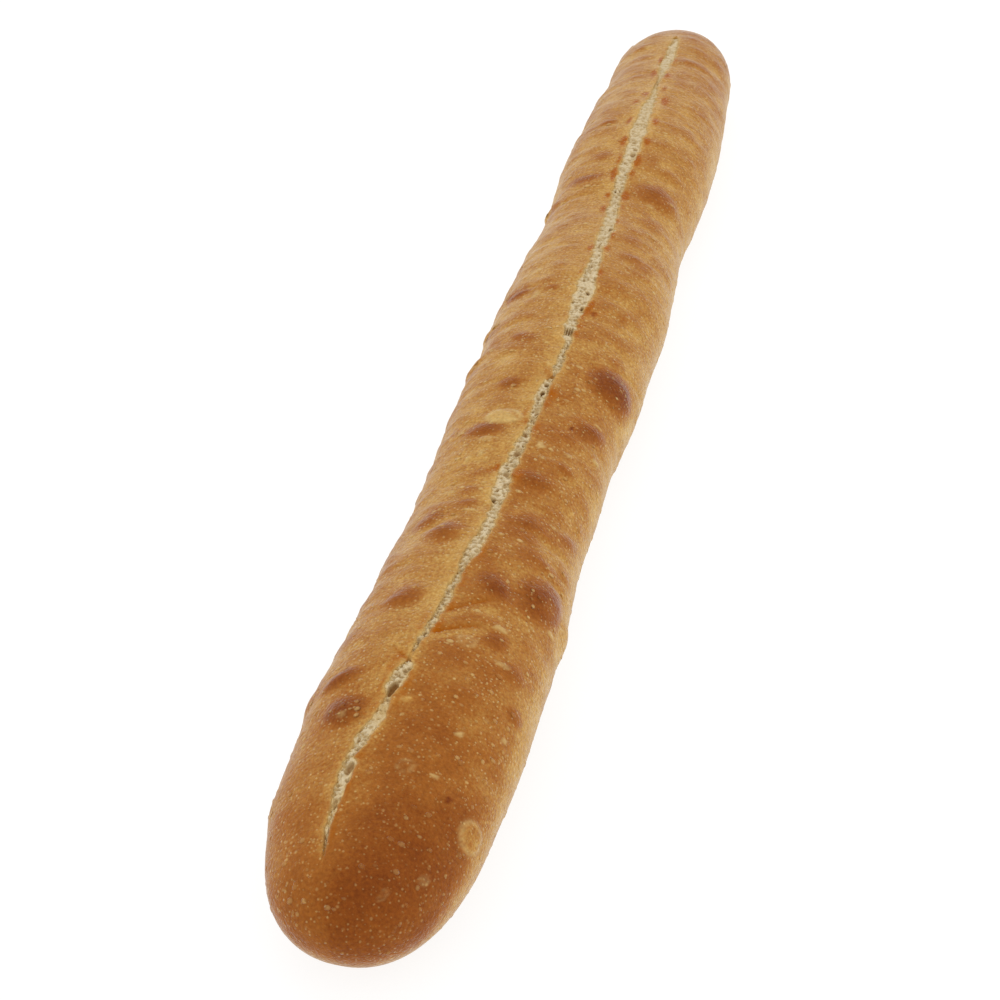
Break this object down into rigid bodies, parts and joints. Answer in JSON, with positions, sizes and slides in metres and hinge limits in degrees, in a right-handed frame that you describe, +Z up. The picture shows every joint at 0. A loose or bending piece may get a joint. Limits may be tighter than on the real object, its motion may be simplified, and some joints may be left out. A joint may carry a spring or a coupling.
{
  "type": "baguette",
  "caption": "Long hand-shaped loaf of white bread with blunt round ends, a flat baked base and a lengthwise score opened along its crown.",
  "frame": {"origin": "middle of the flat base, on the surface that the loaf lies on", "axes": "+Z up through the scored crown, +Y along the loaf towards its narrower end, +X across it"},
  "size_m": [0.0697, 0.59, 0.0482],
  "materials": {
    "crust": "golden baked crust with darker swellings, pale blisters and a cream band of open crumb along the score"
  },
  "bodies": {
    "root": {"loaf": "crust"}
  },
  "joints": []
}
